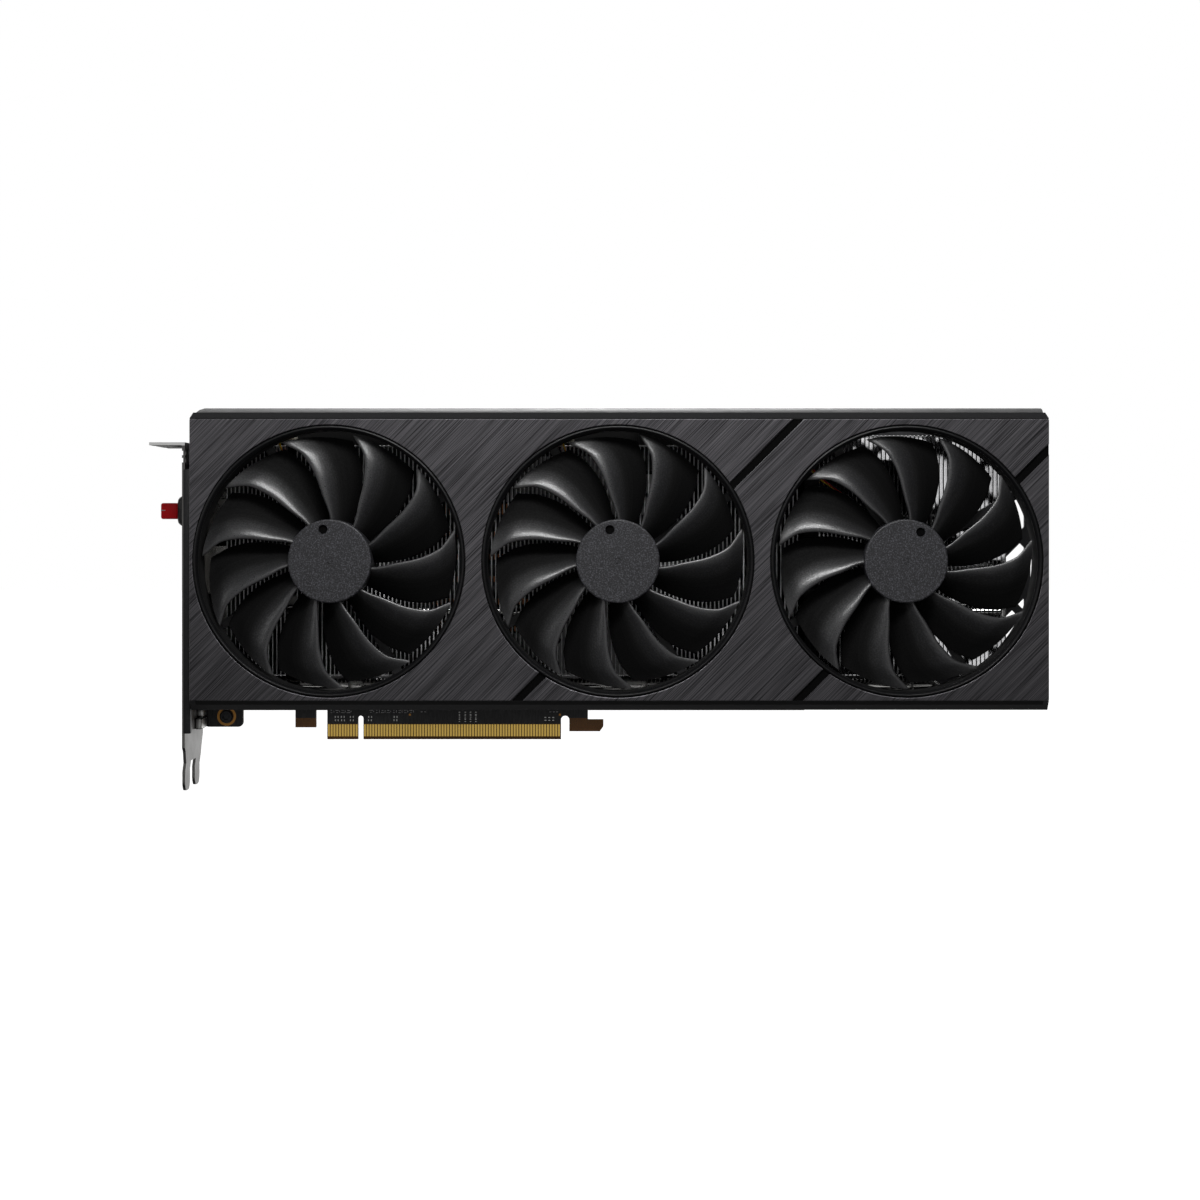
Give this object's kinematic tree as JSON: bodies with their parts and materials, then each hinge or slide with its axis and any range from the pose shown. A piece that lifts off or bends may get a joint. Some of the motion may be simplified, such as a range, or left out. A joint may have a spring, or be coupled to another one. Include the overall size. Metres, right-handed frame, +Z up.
{
  "type": "graphics card",
  "caption": "Two-slot graphics card with axial fans in a brushed face, heat pipes and fins, edge contacts and a steel mounting bracket.",
  "frame": {"origin": "middle of the key notch, at the bottom of the edge contacts, in the board's mid-plane", "axes": "+X along the card away from the bracket, +Z up out of the slot, -Y the side the fans face"},
  "size_m": [0.3146, 0.0458, 0.1332],
  "materials": {
    "back_metal": "black anodised",
    "black_plastic": "fine-grained",
    "black_screw": "black zinc",
    "blade_plastic": "satin",
    "board_black": "black solder mask",
    "bracket_steel": "nickel plated",
    "bronze": "sintered bronze",
    "brushed_face": "dark brushed",
    "capacitor_can": "satin",
    "chip_black": "moulded",
    "coil_copper": "lacquered winding",
    "copper": "machined copper",
    "ferrite": "pressed",
    "fin_aluminium": "mill",
    "gold": "hard gold",
    "lead_black": "sleeved",
    "magnet": "sintered",
    "nickel": "nickel plated",
    "pad_grey": "soft",
    "rail_metal": "satin anodised",
    "red_plastic": "smooth",
    "shaft_steel": "polished",
    "silicon": "polished",
    "socket_steel": "plated",
    "spring_steel": "satin",
    "substrate": "laminate",
    "tin": "tinned",
    "white_plastic": "smooth"
  },
  "bodies": {
    "root": {"face_panel": "brushed_face", "shroud_body": "black_plastic", "fan_ring_trims": "black_plastic", "top_rail": "rail_metal", "backplate": "back_metal", "mounting_bracket": "bracket_steel", "bracket_strip": "black_plastic", "bracket_screws": "black_screw", "board_screw": "black_screw", "backplate_screws": "black_screw", "shroud_screws": "black_screw", "fan_screws": "black_screw", "spring_bracket": "spring_steel", "spring_bracket_screws": "black_screw", "spring_bracket_collars": "white_plastic", "display_socket_shells": "socket_steel", "media_socket_shell": "socket_steel", "socket_inserts": "black_plastic", "circuit_board": "board_black", "edge_contacts": "gold", "chip_substrate": "substrate", "chip_die": "silicon", "memory_chips": "chip_black", "power_stages": "chip_black", "chokes": "ferrite", "thermal_pads": "pad_grey", "capacitors": "capacitor_can", "cold_plate": "copper", "memory_plate": "fin_aluminium", "heat_pipes": "nickel", "bracket_side_fins": "fin_aluminium", "main_fins": "fin_aluminium", "flow_through_fins": "fin_aluminium", "fan_headers": "white_plastic", "fan_plugs": "white_plastic", "power_sockets": "black_plastic", "power_pins": "tin", "fan_1_bearing": "bronze", "fan_1_stator": "coil_copper", "fan_1_frame": "black_plastic", "fan_1_lead": "lead_black", "fan_2_bearing": "bronze", "fan_2_stator": "coil_copper", "fan_2_frame": "black_plastic", "fan_2_lead": "lead_black", "fan_3_bearing": "bronze", "fan_3_stator": "coil_copper", "fan_3_frame": "black_plastic", "fan_3_lead": "lead_black"},
    "port_cap": {"dust_cap": "black_plastic", "dust_cap_tab": "red_plastic"},
    "fan_1": {"fan_1_rotor": "blade_plastic", "fan_1_magnet_ring": "magnet", "fan_1_shaft": "shaft_steel"},
    "fan_2": {"fan_2_rotor": "blade_plastic", "fan_2_magnet_ring": "magnet", "fan_2_shaft": "shaft_steel"},
    "fan_3": {"fan_3_rotor": "blade_plastic", "fan_3_magnet_ring": "magnet", "fan_3_shaft": "shaft_steel"}
  },
  "joints": [
    {"name": "fan_1_spin", "type": "hinge", "parent": "root", "child": "fan_1", "pos_m": [-0.0071, -0.03, 0.0648], "axis": [0, -1, 0], "continuous": true},
    {"name": "fan_2_spin", "type": "hinge", "parent": "root", "child": "fan_2", "pos_m": [0.0926, -0.03, 0.0648], "axis": [0, -1, 0], "continuous": true},
    {"name": "fan_3_spin", "type": "hinge", "parent": "root", "child": "fan_3", "pos_m": [0.1923, -0.03, 0.0648], "axis": [0, -1, 0], "continuous": true},
    {"name": "dust_cap_slide", "type": "slide", "parent": "root", "child": "port_cap", "axis": [-1, 0, 0], "range_m": [0, 0.025]}
  ]
}
